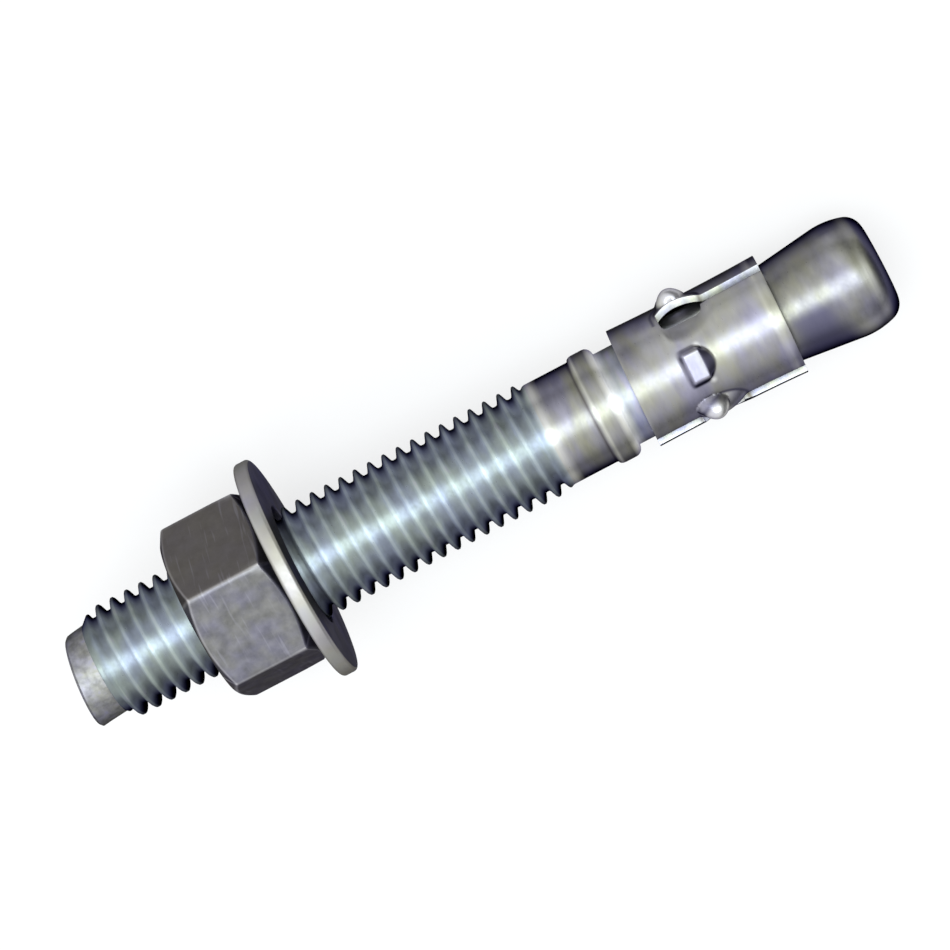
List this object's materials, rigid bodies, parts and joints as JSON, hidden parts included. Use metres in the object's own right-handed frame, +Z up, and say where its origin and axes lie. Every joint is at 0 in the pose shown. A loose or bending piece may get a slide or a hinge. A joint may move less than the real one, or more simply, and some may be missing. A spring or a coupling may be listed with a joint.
{
  "type": "wedge anchor",
  "caption": "Wedge anchor: a threaded stud whose cone spreads a slotted clip in a drilled hole, with a washer and a hex nut.",
  "frame": {"origin": "on the ground, below the middle of the overall length", "axes": "+Z up, +X towards the cone end; the stud's axis lies in the XZ plane and dips towards +X, because the part lies on the washer's rim and the cone"},
  "size_m": [0.1416, 0.0374, 0.0373],
  "materials": {
    "stud": "bright zinc plating over rolled steel",
    "clip": "bright zinc plating over pressed sheet",
    "washer": "bright zinc plating over punched sheet",
    "nut": "zinc plating, duller and scratched"
  },
  "bodies": {
    "stud": {"stud": "stud"},
    "clip": {"expansion_clip": "clip"},
    "washer": {"washer": "washer"},
    "nut": {"hex_nut": "nut"}
  },
  "joints": [
    {"name": "washer_travel", "type": "slide", "parent": "stud", "child": "washer", "axis": [0.9955, 0, -0.0947], "range_m": [-0.01524, 0.04318]},
    {"name": "nut_spin", "type": "hinge", "parent": "washer", "child": "nut", "pos_m": [-0.04901, 0, 0.02024], "axis": [0.9955, 0, -0.0947], "range_deg": [-2160, 6120]},
    {"name": "clip_slide", "type": "slide", "parent": "stud", "child": "clip", "axis": [0.9955, 0, -0.0947], "range_m": [-0.0028, 0.0033]}
  ],
  "couplings": [
    {"joint": "washer_travel", "follows": "nut_spin", "m_per_rad": 0.00040425}
  ]
}
